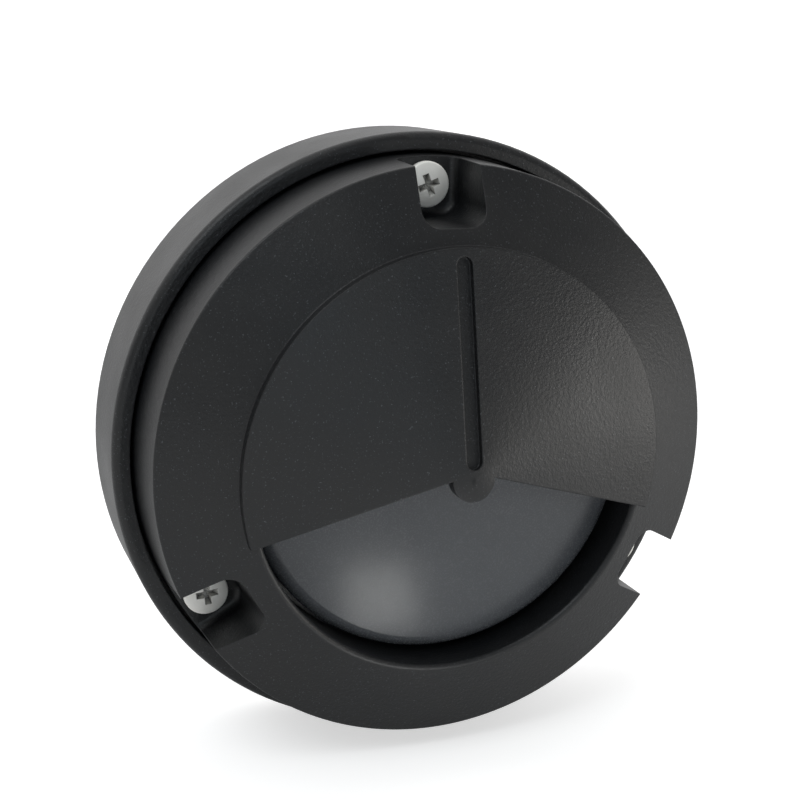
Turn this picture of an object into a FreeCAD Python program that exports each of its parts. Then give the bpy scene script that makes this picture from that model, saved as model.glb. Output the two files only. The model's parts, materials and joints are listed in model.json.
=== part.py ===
"""Round surface step light with a hooded "eyelid" cover, as a parametric assembly.

A shallow die-cast base stands on the wall. A die-cast cover sits inside the rim of the base and is
held by three pan head screws in open notches. The cover's face is a low cone, and inside its inner
circle a second cone, the eyelid, hoods a frosted lens and leaves it open only downwards.

Every sub-part is drawn in the same local axes: x to the right and y up as seen from the front,
z out of the wall, with z = 0 on the wall. The parts are then turned so that up is +Z and the front
faces -Y. "Height" below always means the distance out of the wall.
"""
import FreeCAD
import Part
import Sketcher

import math
import os

from FreeCAD import Placement, Rotation, Vector

# ---------------------------------------------------------------------------------------------
# Driving dimensions, in millimetres and degrees. Each one can be changed by itself.
# ---------------------------------------------------------------------------------------------
DIMENSIONS = {
    # base housing
    "base_draft": 0.8,             # the base is this much wider in radius at its rim
    "base_depth": 17.0,
    "base_floor": 3.0,
    "rim_width": 3.0,
    "rim_rounding": 1.3,
    "ledge_width": 3.7,            # shelf inside the rim, under the cover gasket
    "ledge_height": 11.0,
    "skirt_gap": 0.7,              # dark gap between the rim and the cover
    "cover_boss_radius": 4.8,
    "hole_end": 4.5,               # the tapped holes of the bosses stop at this height
    # front cover
    "face_radius": 50.0,           # sharp edge where the skirt meets the face
    "face_height": 30.0,
    "face_edge_rounding": 0.35,
    "skirt_wall": 2.5,
    "flange_rise": 5.8,            # the face climbs this much on its way in to the eyelid
    "flange_thickness": 2.4,
    "opening_radius": 35.2,
    "opening_rounding": 0.8,
    "eyelid_radius": 37.4,
    "eyelid_step": 1.8,            # the eyelid stands proud of the face by this
    "eyelid_rise": 7.3,
    "eyelid_thickness": 2.2,
    "eyelid_root": 2.0,            # gusset where the eyelid springs from the barrel
    "tip_rounding": 14.0,
    "mouth_angle": 18.0,           # the eyelid's lower edges fall away by this on each side
    "mouth_apex": 1.4,             # where those two edges would meet, above the centre
    "tab_radius": 3.7,             # round tab at the middle of the eyelid's lower edge
    "groove_radius": 1.4,
    "groove_depth": 1.2,
    "groove_low_end": 1.9,
    "groove_high_end": 36.0,
    "barrel_wall": 2.2,            # round the lens socket
    "seat_depth": 5.0,             # the lens gasket bears this far below the face's edge
    # screw notches
    "screw_inset": 4.65,           # the cover screws stand this far inside the face's edge
    "notch_room": 1.8,             # beside the screw's head, fillet included
    "notch_room_inward": 1.45,
    "notch_corner": 3.0,
    "notch_wall": 1.2,
    "lug_thickness": 8.2,          # below each screw's head
    "notch_rounding": 1.3,
    # screws: M4 for the cover and the earth point, M3 tray, 2.9 retainer, 2.5 board and block
    "cover_screw_radius": 2.0,
    "cover_screw_length": 14.0,
    "earth_screw_length": 6.0,
    "tray_screw_radius": 1.5,
    "tray_screw_length": 6.0,
    "ear_screw_radius": 1.45,
    "ear_screw_length": 6.5,
    "board_screw_radius": 1.25,
    "board_screw_length": 4.0,
    "block_screw_radius": 1.25,
    "block_screw_length": 8.6,
    "head_ratio": 1.95,            # pan head: head radius over shank radius
    "head_height_ratio": 1.05,     # head height over shank radius
    "head_side": 0.5,              # share of the head's height below its dome
    "recess_reach": 0.62,          # arms of the cross recess, as a share of the head's radius
    "recess_half": 0.14,
    "recess_floor": 0.4,
    "thread_fit": 0.03,            # screw in its own tapped hole
    "through_fit": 0.25,           # screw through a plain hole
    "snug_fit": 0.1,               # screw through a plain hole of a small part
    # seals
    "cover_gasket_thickness": 1.0,
    "lens_gasket_thickness": 1.0,
    "wall_gasket_width": 4.0,
    "wall_gasket_inset": 2.8,      # from the outside of the base's back
    "wall_gasket_thickness": 1.2,
    "seal_fit": 0.2,               # seal or lens beside the wall that locates it
    # lens
    "lens_play": 0.8,              # between the dome and the opening
    "lens_thickness": 2.4,
    "brim_thickness": 2.0,
    "lens_stand": 5.5,             # edge of the dome above the gasket's seat
    "lens_rounding": 2.5,
    "lens_inner_rounding": 0.58,
    "lens_crown": 2.6,
    # lens retainer
    "retainer_thickness": 1.5,
    "retainer_reach": 1.68,        # under the dome's wall
    "ear_reach": 2.0,              # the ears' screws stand this far outside the barrel
    "ear_root": 1.0,
    "ear_head_face": 0.7,          # flat of the ear screws' heads, as a share of their radius
    "ear_head_side": 0.6,
    "ear_radius": 3.2,
    "ear_boss_radius": 2.9,
    # gear tray and light engine
    "post_radius": 3.2,
    "post_height": 13.0,
    "post_circle": 29.2,
    "tray_radius": 34.0,
    "tray_thickness": 1.2,
    "tray_lip": 3.0,
    "tray_hole_radius": 6.0,
    "pad_thickness": 0.4,
    "pad_inset": 0.4,
    "board_radius": 22.0,
    "board_thickness": 1.6,
    "board_hole_radius": 4.5,
    "board_screw_circle": 18.0,
    "emitter_circle": 10.5,
    "emitter_length": 3.5,
    "emitter_width": 2.8,
    "emitter_height": 0.8,
    "driver_circle": 17.4,         # the driver's parts lie on this circle of the board
    "reflector_thickness": 0.8,
    "reflector_foot": 22.6,
    "reflector_lap": 0.48,         # the dish's rim reaches this far behind the retainer
    # wall and cable side
    "fixing_spread": 79.0,         # between the two wall fixing holes
    "fixing_hole_radius": 2.25,
    "collar_radius": 5.0,
    "collar_height": 1.5,
    "cable_hole_radius": 4.6,
    "cable_up": 18.0,
    "cable_radius": 3.0,
    "grommet_flange": 6.6,
    "grommet_lip": 1.2,
    "grommet_shoulder": 0.6,       # flat ring round the root of the nose
    "grommet_nose": 7.8,
    "grommet_tip": 0.84,
    # terminal block
    "block_pitch": 9.0,
    "block_depth": 13.0,
    "block_height": 9.4,
    "block_down": 15.0,
    "barrel_height": 7.4,
    "barrel_radius": 2.3,
    "barrel_bore": 1.3,
    "barrel_recess": 0.5,          # the barrels end this far inside the block
    "clamp_radius": 1.3,
    "clamp_well": 1.82,
    "clamp_sink": 1.0,             # the clamp screws' tops lie this far below the block's
    "clamp_slot": 0.26,
    "clamp_slot_depth": 0.78,
    "block_hole_end": 0.75,
    # leads and earth point
    "lead_radius": 0.9,
    "lead_grip": 3.0,              # the leads end this far past the clamp screws
    "lead_spread": 2.2,            # where the leads rise through the board
    "lead_end": 7.2,               # soldered ends
    "earth_right": 20.0,
    "earth_up": 8.0,
    "earth_boss_radius": 4.2,
    "earth_boss_height": 4.0,
    "tag_thickness": 0.8,
    "tag_neck": 2.0,
    "tag_lap": 0.8,
    "crimp_radius": 1.6,
    "crimp_length": 4.8,
    "crimp_gap": 0.5,              # between the tag's ring and its crimp barrel
}

COVER_ANGLE = 90       # the first cover screw is at the top
EAR_ANGLE = 30         # retainer ears and tray posts stand between the cover screws
THREES = 3             # cover screws, ears and posts come in threes
EMITTERS = 12
POLES = 3
BEYOND = 30.0          # a cut that leaves the part runs this far past it
BEND_SHARE = 0.45      # a bend takes up this share of the shorter run beside it

document = FreeCAD.newDocument("StepLight")
sheet = document.addObject("Spreadsheet::Sheet", "Dimensions")
for row, (alias, number) in enumerate(DIMENSIONS.items(), start=1):
    sheet.set(f"A{row}", alias)
    sheet.set(f"B{row}", str(number))
    sheet.setAlias(f"B{row}", alias)
document.recompute()


# ---------------------------------------------------------------------------------------------
# Sizes that know their expression
# ---------------------------------------------------------------------------------------------
class Size:
    """A length with both its present value and the expression that ties it to the sheet."""

    def __init__(self, value, text):
        self.value = value
        self.text = text

    def __add__(self, other):
        return Size(self.value + value_of(other), f"({self.text} + {text_of(other)})")

    def __sub__(self, other):
        return Size(self.value - value_of(other), f"({self.text} - {text_of(other)})")

    def __mul__(self, other):
        return Size(self.value * value_of(other), f"({self.text} * {text_of(other)})")

    def __truediv__(self, other):
        return Size(self.value / value_of(other), f"({self.text} / {text_of(other)})")

    def __neg__(self):
        return Size(-self.value, f"(-{self.text})")

    def __abs__(self):
        return Size(abs(self.value), f"abs({self.text})")


def value_of(number):
    return number.value if isinstance(number, Size) else number


def text_of(number):
    return number.text if isinstance(number, Size) else repr(float(number))


def size(name):
    return Size(float(sheet.get(name)), f"Dimensions.{name}")


def tangent(angle):
    return Size(math.tan(math.radians(angle.value)), f"tan({angle.text})")


def root(number):
    return Size(math.sqrt(number.value), f"sqrt({number.text})")


def around(radius, angle):
    """Point on a circle about the axis; a coordinate that vanishes is a plain zero."""
    turn = math.radians(angle)
    x = Size(radius.value * math.cos(turn), f"({radius.text} * cos({angle}))")
    y = Size(radius.value * math.sin(turn), f"({radius.text} * sin({angle}))")
    return tuple(0 if abs(part.value) < 1e-9 else part for part in (x, y))


def dome_radius(half_width, rise):
    """Radius of the arc that rises this much over this half width."""
    return (half_width * half_width + rise * rise) / (rise * 2)


# ---------------------------------------------------------------------------------------------
# Sketches
# ---------------------------------------------------------------------------------------------
def new_body(label):
    body = document.addObject("PartDesign::Body", label)
    body.Label = label
    return body


def bind(thing, path, length):
    """Tie one property of an object to the sheet."""
    if isinstance(length, Size):
        thing.setExpression(path, length.text)


def new_sketch(body, role, offset, turn=Rotation()):
    """Sketch on one of the body's own planes, moved by an offset in that plane's own axes."""
    plane = next(item for item in body.Origin.OriginFeatures if item.Role == role)
    sketch = body.newObject("Sketcher::SketchObject", f"{body.Name}_sketch")
    sketch.AttachmentSupport = (plane, [""])
    sketch.MapMode = "FlatFace"
    base = Vector(*(value_of(part) for part in offset))
    sketch.AttachmentOffset = Placement(base, turn)
    for axis, part in zip("xyz", offset):
        bind(sketch, f"AttachmentOffset.Base.{axis}", part)
    return sketch


def face_sketch(body, height=0, x=0, y=0, turn=Rotation()):
    """Sketch seen from the front, at this height above the wall."""
    return new_sketch(body, "XY_Plane", (x, y, height), turn)


def profile_sketch(body, x=0, y=0):
    """Sketch of radius against height; its upright axis is the line out of the wall at x, y."""
    return new_sketch(body, "XZ_Plane", (x, 0, -y if isinstance(y, Size) else 0))


def hold(sketch, kind, *geometry, length):
    """Dimension one item of a sketch and tie it to the sheet; lengths are kept positive."""
    index = sketch.addConstraint(Sketcher.Constraint(kind, *geometry, value_of(length)))
    bind(sketch, f"Constraints[{index}]", length)


def pin(sketch, geometry, position, x, y):
    """Fix one point of a sketch from the sketch's origin."""
    for kind, axis, part in (("DistanceX", -2, x), ("DistanceY", -1, y)):
        if value_of(part) == 0:
            sketch.addConstraint(Sketcher.Constraint("PointOnObject", geometry, position, axis))
        elif value_of(part) > 0:
            hold(sketch, kind, -1, 1, geometry, position, length=part)
        else:
            hold(sketch, kind, geometry, position, -1, 1, length=-part)


def add_circle(sketch, radius, x=0, y=0):
    centre = Vector(value_of(x), value_of(y), 0)
    index = sketch.addGeometry(Part.Circle(centre, Vector(0, 0, 1), value_of(radius)))
    hold(sketch, "Radius", index, length=radius)
    pin(sketch, index, 3, x, y)


def add_edge(sketch, start, end, bend):
    """Line, or arc of the radius bend, and the names of its two ends in running order."""
    if bend is None:
        return sketch.addGeometry(Part.LineSegment(start, end)), 1, 2
    radius = abs(bend.value)
    chord = end - start
    left = Vector(-chord.y, chord.x, 0).normalize()
    reach = math.sqrt(radius ** 2 - (chord.Length / 2) ** 2)
    centre = (start + end) * 0.5 + left * math.copysign(reach, bend.value)
    first, last = (start, end) if bend.value > 0 else (end, start)
    begin = math.atan2(first.y - centre.y, first.x - centre.x)
    finish = math.atan2(last.y - centre.y, last.x - centre.x)
    if finish < begin:
        finish += 2 * math.pi
    circle = Part.Circle(centre, Vector(0, 0, 1), radius)
    index = sketch.addGeometry(Part.ArcOfCircle(circle, begin, finish))
    hold(sketch, "Radius", index, length=abs(bend))
    return (index, 1, 2) if bend.value > 0 else (index, 2, 1)


def add_outline(sketch, corners):
    """Closed loop through corners (x, y). A third number bends the edge that starts at the corner
    into an arc of that radius, whose centre is to the left of the run, or to the right if the
    number is negative. No arc is as long as half a circle."""
    points = [Vector(value_of(corner[0]), value_of(corner[1]), 0) for corner in corners]
    bends = [corner[2] if len(corner) == 3 else None for corner in corners]
    edges = []
    for start, end, bend in zip(points, points[1:] + points[:1], bends):
        edges.append(add_edge(sketch, start, end, bend))
    for (edge, _, end), (following, start, _) in zip(edges, edges[1:] + edges[:1]):
        sketch.addConstraint(Sketcher.Constraint("Coincident", edge, end, following, start))
    for (edge, start, _), corner in zip(edges, corners):
        pin(sketch, edge, start, corner[0], corner[1])


def add_box(sketch, left, right, low, high):
    add_outline(sketch, [(left, low), (right, low), (right, high), (left, high)])


# ---------------------------------------------------------------------------------------------
# Features
# ---------------------------------------------------------------------------------------------
volumes = {}


def finish_feature(body, feature, grows):
    """Make a feature the body's tip and see that it added or removed material."""
    body.Tip = feature
    document.recompute()
    change = feature.Shape.Volume - volumes.get(body.Name, 0.0)
    volumes[body.Name] = feature.Shape.Volume
    if (change > 0) != grows or abs(change) < 1e-4:
        raise RuntimeError(f"{body.Label}: {feature.Name} changed the volume by {change:.4f}")
    return feature


def turned(body, sketch, cut=False, seam_opposite=False):
    """Turn a profile round its upright axis. The surfaces start and end where the profile is
    drawn, or opposite to it."""
    kind = "PartDesign::Groove" if cut else "PartDesign::Revolution"
    feature = body.newObject(kind, f"{body.Name}_turned")
    feature.Profile = (sketch, [""])
    feature.ReferenceAxis = (sketch, ["V_Axis"])
    feature.Angle = 360
    feature.Midplane = seam_opposite
    return finish_feature(body, feature, grows=not cut)


def raised(body, sketch, length):
    """Pad away from the wall."""
    feature = body.newObject("PartDesign::Pad", f"{body.Name}_raised")
    feature.Profile = (sketch, [""])
    feature.Length = value_of(length)
    bind(feature, "Length", length)
    return finish_feature(body, feature, grows=True)


def cut(body, sketch, length, outward=True):
    """Cut a pocket from its sketch, away from the wall or towards it."""
    feature = body.newObject("PartDesign::Pocket", f"{body.Name}_cut")
    feature.Profile = (sketch, [""])
    feature.Length = value_of(length)
    feature.Reversed = outward
    bind(feature, "Length", length)
    return finish_feature(body, feature, grows=False)


def repeated(body, features, count, grows=True):
    """Repeat features round the axis, evenly over the full circle."""
    pattern = body.newObject("PartDesign::PolarPattern", f"{body.Name}_ring")
    pattern.Originals = features
    axis = next(item for item in body.Origin.OriginFeatures if item.Role == "Z_Axis")
    pattern.Axis = (axis, [""])
    pattern.Angle = 360
    pattern.Occurrences = count
    return finish_feature(body, pattern, grows=grows)


def lined_up(body, features, spacing, count, grows=True):
    """Repeat features to the right at an even spacing."""
    pattern = body.newObject("PartDesign::LinearPattern", f"{body.Name}_row")
    pattern.Originals = features
    axis = next(item for item in body.Origin.OriginFeatures if item.Role == "X_Axis")
    pattern.Direction = (axis, [""])
    pattern.Occurrences = count
    pattern.Length = value_of(spacing) * (count - 1)
    bind(pattern, "Length", spacing * (count - 1))
    return finish_feature(body, pattern, grows=grows)


def rounded(body, radius, wanted, grows=False):
    """Round the edges of the tip that the test picks out."""
    base = body.Tip
    edges = enumerate(base.Shape.Edges, start=1)
    names = [f"Edge{number}" for number, edge in edges if wanted(edge)]
    fillet = body.newObject("PartDesign::Fillet", f"{body.Name}_fillet")
    fillet.Base = (base, names)
    fillet.Radius = value_of(radius)
    bind(fillet, "Radius", radius)
    return finish_feature(body, fillet, grows=grows)


def along(edge):
    """The two ends and the middle of an edge."""
    first, last = edge.ParameterRange
    return [edge.valueAt(place) for place in (first, (first + last) / 2, last)]


def ring_edge(radius, height):
    """Test for arcs about the axis at this radius and height."""
    def wanted(edge):
        return all(abs(math.hypot(point.x, point.y) - radius.value) < 1e-4
                   and abs(point.z - height.value) < 1e-4 for point in along(edge))
    return wanted


def ring_plate(body, outer, inner, low, thickness):
    """Flat ring about the axis."""
    plate = face_sketch(body, low)
    add_circle(plate, outer)
    add_circle(plate, inner)
    return raised(body, plate, thickness)


def post(body, radius, low, length, x=0, y=0):
    """Round boss standing on the height low."""
    base = face_sketch(body, low, x, y)
    add_circle(base, radius)
    return raised(body, base, length)


def drill(body, radius, low, length, x=0, y=0):
    """Round hole from the height low, away from the wall."""
    mouth = face_sketch(body, low, x, y)
    add_circle(mouth, radius)
    return cut(body, mouth, length)


def pan_screw(body, shank, length, seat, x=0, y=0, turn=0):
    """Pan head screw with a cross recess; its head bears on the height seat."""
    head = shank * size("head_ratio")
    height = shank * size("head_height_ratio")
    side = height * size("head_side")
    profile = profile_sketch(body, x, y)
    add_outline(profile, [
        (0, seat - length),
        (shank, seat - length),
        (shank, seat),
        (head, seat),
        (head, seat + side, dome_radius(head, height - side)),
        (0, seat + height)])
    turned(body, profile)
    arm = head * size("recess_reach")
    half = head * size("recess_half")
    low = seat + height * size("recess_floor")
    recess = face_sketch(body, low, x, y, Rotation(Vector(0, 0, 1), turn))
    add_outline(recess, [
        (half, half), (arm, half), (arm, -half), (half, -half),
        (half, -arm), (-half, -arm), (-half, -half), (-arm, -half),
        (-arm, half), (-half, half), (-half, arm), (half, arm)])
    return cut(body, recess, height)


def whole_ring(body, count=THREES):
    """Repeat everything in the body round the axis, as separate solids."""
    pattern = body.newObject("PartDesign::PolarPattern", f"{body.Name}_group")
    pattern.TransformMode = "Whole shape"
    axis = next(item for item in body.Origin.OriginFeatures if item.Role == "Z_Axis")
    pattern.Axis = (axis, [""])
    pattern.Angle = 360
    pattern.Occurrences = count
    return finish_feature(body, pattern, grows=True)


def whole_row(body, spacing, count):
    """Repeat everything in the body to the right, as separate solids."""
    pattern = body.newObject("PartDesign::LinearPattern", f"{body.Name}_group")
    pattern.TransformMode = "Whole shape"
    axis = next(item for item in body.Origin.OriginFeatures if item.Role == "X_Axis")
    pattern.Direction = (axis, [""])
    pattern.Occurrences = count
    pattern.Length = value_of(spacing) * (count - 1)
    bind(pattern, "Length", spacing * (count - 1))
    return finish_feature(body, pattern, grows=True)


# ---------------------------------------------------------------------------------------------
# Heights and radii that several sub-parts share
# ---------------------------------------------------------------------------------------------
rim_inside = size("face_radius") + size("skirt_gap")
rim_outside = rim_inside + size("rim_width")
back_outside = rim_outside - size("base_draft")
well_radius = rim_inside - size("ledge_width")
skirt_inside = size("face_radius") - size("skirt_wall")
skirt_foot = size("ledge_height") + size("cover_gasket_thickness")
notch_floor = skirt_foot + size("lug_thickness")
seat_height = size("face_height") - size("seat_depth")

flange_slope = size("flange_rise") / (size("face_radius") - size("eyelid_radius"))
flange_lean = root(flange_slope * flange_slope + 1)
# the opening's rim is rounded: the round starts this far out on the face and this far down
rim_reach = size("opening_rounding") * (flange_lean + flange_slope)
rim_start = size("opening_radius") + rim_reach / flange_lean
eyelid_base = size("face_height") + size("flange_rise") + size("eyelid_step")
eyelid_tip = eyelid_base + size("eyelid_rise")
eyelid_slope = size("eyelid_rise") / size("eyelid_radius")
eyelid_lean = root(eyelid_slope * eyelid_slope + 1)

# the notches leave room round the screws' heads, and the lens socket lies just inside them
screw_circle = size("face_radius") - size("screw_inset")
cover_head = size("cover_screw_radius") * size("head_ratio")
notch_half = cover_head + size("notch_room")
notch_end = screw_circle - cover_head - size("notch_room_inward")
socket_radius = notch_end - size("notch_wall")
barrel_outside = socket_radius + size("barrel_wall")
ear_circle = barrel_outside + size("ear_reach")
brim_radius = socket_radius - size("seal_fit")
brim_front = seat_height - size("lens_gasket_thickness")
brim_back = brim_front - size("brim_thickness")
lens_radius = size("opening_radius") - size("lens_play")
retainer_back = brim_back - size("retainer_thickness")
retainer_inside = lens_radius - size("retainer_reach")

tray_front = size("post_height") + size("tray_thickness")
board_back = tray_front + size("pad_thickness")
board_front = board_back + size("board_thickness")
earth_seat = size("base_floor") + size("earth_boss_height") + size("tag_thickness")
block_top = size("base_floor") + size("block_height")
# the block's fixing screws bear just above its barrels
block_seat = size("barrel_height") + size("barrel_radius") + size("through_fit")


def flange_surface(radius, below=0):
    """Height of the cover's face at a radius, or of a layer below it."""
    return size("face_height") + flange_slope * (size("face_radius") - radius) - below


# ---------------------------------------------------------------------------------------------
# Base and cable side
# ---------------------------------------------------------------------------------------------
def base_housing():
    """Die-cast cup: floor, drafted wall with an inner ledge, and all its bosses."""
    body = new_body("base_housing")
    floor = size("base_floor")
    profile = profile_sketch(body)
    add_outline(profile, [
        (0, 0),
        (back_outside, 0),
        (rim_outside, size("base_depth")),
        (rim_inside, size("base_depth")),
        (rim_inside, size("ledge_height")),
        (well_radius, size("ledge_height")),
        (well_radius, floor),
        (0, floor)])
    turned(body, profile)
    rounded(body, size("rim_rounding"), ring_edge(rim_outside, size("base_depth")))

    seal_out = back_outside - size("wall_gasket_inset") + size("seal_fit")
    seal_in = seal_out - size("wall_gasket_width") - size("seal_fit") * 2
    channel = profile_sketch(body)
    add_box(channel, seal_in, seal_out, 0, size("wall_gasket_thickness"))
    turned(body, channel, cut=True)

    # bosses start inside the floor, so that they are one casting with it
    sunk = floor * 0.5
    at_screw = around(screw_circle, COVER_ANGLE)
    screw_boss = post(body, size("cover_boss_radius"), sunk, size("ledge_height") - sunk, *at_screw)
    repeated(body, [screw_boss], THREES)
    at_post = around(size("post_circle"), EAR_ANGLE)
    tray_post = post(body, size("post_radius"), sunk, size("post_height") - sunk, *at_post)
    repeated(body, [tray_post], THREES)
    post(body, size("earth_boss_radius"), sunk, floor + size("earth_boss_height") - sunk,
         size("earth_right"), size("earth_up"))

    tapped = size("cover_screw_radius") + size("thread_fit")
    screw_hole = drill(body, tapped, size("hole_end"), size("ledge_height"), *at_screw)
    repeated(body, [screw_hole], THREES, grows=False)
    tapped = size("tray_screw_radius") + size("thread_fit")
    tray_hole = drill(body, tapped, size("hole_end"), size("post_height"), *at_post)
    repeated(body, [tray_hole], THREES, grows=False)
    tapped = size("cover_screw_radius") + size("thread_fit")
    drill(body, tapped, sunk, size("earth_boss_height") + floor,
          size("earth_right"), size("earth_up"))

    # wall fixings, each with a collar that keeps water in the well off the screw
    for side in (-1, 1):
        x = size("fixing_spread") * (side / 2)
        post(body, size("collar_radius"), sunk, floor + size("collar_height") - sunk, x)
        hole = face_sketch(body, 0, x)
        add_circle(hole, size("fixing_hole_radius"))
        cut(body, hole, floor + size("collar_height"))

    # cable hole, recessed from behind for the grommet's back flange
    drill(body, size("cable_hole_radius"), 0, floor, 0, size("cable_up"))
    drill(body, size("grommet_flange") + size("seal_fit"), 0, size("grommet_lip"), 0,
          size("cable_up"))

    # the terminal block is screwed down between its poles
    tapped = size("block_screw_radius") + size("thread_fit")
    for side in (-1, 1):
        x = size("block_pitch") * (side / 2)
        drill(body, tapped, size("block_hole_end"), floor, x, -size("block_down"))
    return body


def wall_gasket():
    """Foam ring flush in the channel of the base's back."""
    body = new_body("wall_gasket")
    outer = back_outside - size("wall_gasket_inset")
    ring_plate(body, outer, outer - size("wall_gasket_width"), 0, size("wall_gasket_thickness"))
    return body


def cable_grommet():
    """Rubber inlet: a flange on each side of the floor and a tapered nose inside."""
    body = new_body("cable_grommet")
    floor = size("base_floor")
    bore = size("cable_radius")
    neck = size("cable_hole_radius") - size("thread_fit")
    flange = size("grommet_flange")
    lip = size("grommet_lip")
    profile = profile_sketch(body, 0, size("cable_up"))
    add_outline(profile, [
        (bore, size("seal_fit")),
        (flange, size("seal_fit")),
        (flange, lip),
        (neck, lip),
        (neck, floor),
        (flange, floor),
        (flange, floor + lip),
        (bore + lip + size("grommet_shoulder"), floor + lip),
        (bore + size("grommet_tip"), size("grommet_nose")),
        (bore, size("grommet_nose"))])
    turned(body, profile)
    return body


def cover_gasket():
    """Flat seal on the ledge, with an eye over each screw boss."""
    body = new_body("cover_gasket")
    low = size("ledge_height")
    thick = size("cover_gasket_thickness")
    ring_plate(body, rim_inside - size("seal_fit"), well_radius + size("seal_fit"), low, thick)
    at_screw = around(screw_circle, COVER_ANGLE)
    eye = post(body, size("cover_boss_radius") - size("seal_fit"), low, thick, *at_screw)
    repeated(body, [eye], THREES)
    hole = drill(body, size("cover_screw_radius") + size("through_fit"), low, thick, *at_screw)
    repeated(body, [hole], THREES, grows=False)
    return body


# ---------------------------------------------------------------------------------------------
# Front cover with the eyelid
# ---------------------------------------------------------------------------------------------
def notch_outline(outer, wall=0):
    """The first notch, or the wall round it: a slot with a flat end and rounded inner corners."""
    half = notch_half + wall
    end = notch_end - wall
    corner = size("notch_corner") + wall
    return [
        (-half, end + corner, corner),
        (corner - half, end),
        (half - corner, end, corner),
        (half, end + corner),
        (half, outer),
        (-half, outer)]


def mouth_outline():
    """Everything below the eyelid's two falling edges, less the round tab between them."""
    reach = size("opening_radius") + BEYOND
    fall = tangent(size("mouth_angle"))
    apex = size("mouth_apex")
    tab = size("tab_radius")
    lean = fall * fall + 1
    tab_x = (fall * apex + root(tab * tab * lean - apex * apex)) / lean
    tab_y = apex - fall * tab_x
    edge_y = apex - fall * reach
    return [
        (-reach, edge_y),
        (-tab_x, tab_y, tab),
        (0, -tab, tab),
        (tab_x, tab_y),
        (reach, edge_y),
        (reach, -reach),
        (-reach, -reach)]


def add_notch_walls(body):
    """Columns round the notches and bosses for the retainer ears, cut off inside the face."""
    half = notch_half + size("notch_wall")
    middle = size("face_radius") - size("skirt_wall") * 0.5
    column = face_sketch(body, skirt_foot)
    add_outline(column, notch_outline(root(middle * middle - half * half), size("notch_wall")))
    column_pad = raised(body, column, eyelid_tip - skirt_foot)
    repeated(body, [column_pad], THREES)
    at_ear = around(ear_circle, EAR_ANGLE)
    boss = post(body, size("ear_boss_radius"), brim_back, eyelid_tip - brim_back, *at_ear)
    repeated(body, [boss], THREES)

    layer = size("flange_thickness") * 0.5
    reach = size("face_radius") + BEYOND
    inner = (size("eyelid_radius") + socket_radius) * 0.5
    above = profile_sketch(body)
    add_outline(above, [
        (inner, flange_surface(inner, layer)),
        (reach, flange_surface(reach, layer)),
        (reach, eyelid_tip + BEYOND),
        (inner, eyelid_tip + BEYOND)])
    turned(body, above, cut=True)


def add_shell(body):
    """Skirt, conical face, barrel with the gasket seat and the socket for the lens brim."""
    opening = size("opening_radius")
    face = size("face_radius")
    thick = size("flange_thickness") * flange_lean
    shell = profile_sketch(body)
    add_outline(shell, [
        (face, skirt_foot),
        (face, size("face_height")),
        (rim_start, flange_surface(rim_start), size("opening_rounding")),
        (opening, flange_surface(opening) - rim_reach),
        (opening, seat_height),
        (socket_radius, seat_height),
        (socket_radius, brim_back),
        (barrel_outside, brim_back),
        (barrel_outside, flange_surface(barrel_outside, thick)),
        (skirt_inside, flange_surface(skirt_inside, thick)),
        (skirt_inside, skirt_foot)])
    turned(body, shell)


def add_eyelid(body):
    """Coned sheet with a rounded tip, the long groove down its top and the open mouth below.
    Its foot fills the rounded rim of the opening wherever the eyelid stands on it."""
    opening = size("opening_radius")
    outer = size("eyelid_radius")
    thick = size("eyelid_thickness")
    tip_reach = size("tip_rounding") * eyelid_slope / eyelid_lean
    tip_height = eyelid_tip - eyelid_slope * tip_reach
    tip_top = tip_height + size("tip_rounding") - size("tip_rounding") / eyelid_lean
    root_radius = opening - size("eyelid_root")
    root_height = eyelid_tip - thick - eyelid_slope * root_radius
    # drawn upwards with its seam below, where the mouth takes it away
    sheet_profile = new_sketch(body, "YZ_Plane", (0, 0, 0))
    add_outline(sheet_profile, [
        (0, eyelid_tip - thick),
        (root_radius, root_height),
        (opening, root_height - size("eyelid_root")),
        (outer, root_height - size("eyelid_root")),
        (outer, eyelid_base),
        (tip_reach, tip_height, size("tip_rounding")),
        (0, tip_top)])
    turned(body, sheet_profile, seam_opposite=True)

    mouth = face_sketch(body, size("face_height"))
    add_outline(mouth, mouth_outline())
    cut(body, mouth, BEYOND)

    # the groove is cut square to the sheet, from a plane that lies one thickness above it
    low = size("groove_low_end")
    half = size("groove_radius")
    length = (size("groove_high_end") - low) * eyelid_lean
    slope_angle = math.degrees(math.atan(eyelid_slope.value))
    surface = eyelid_tip - eyelid_slope * low
    groove = face_sketch(body, surface + thick / eyelid_lean, 0,
                         low + thick * eyelid_slope / eyelid_lean,
                         Rotation(Vector(-1, 0, 0), slope_angle))
    groove.setExpression("AttachmentOffset.Rotation.Angle", f"atan({eyelid_slope.text})")
    add_outline(groove, [
        (-half, half, half),
        (0, 0, half),
        (half, half),
        (half, length - half, half),
        (0, length, half),
        (-half, length - half)])
    cut(body, groove, thick + size("groove_depth"), outward=False)


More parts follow.
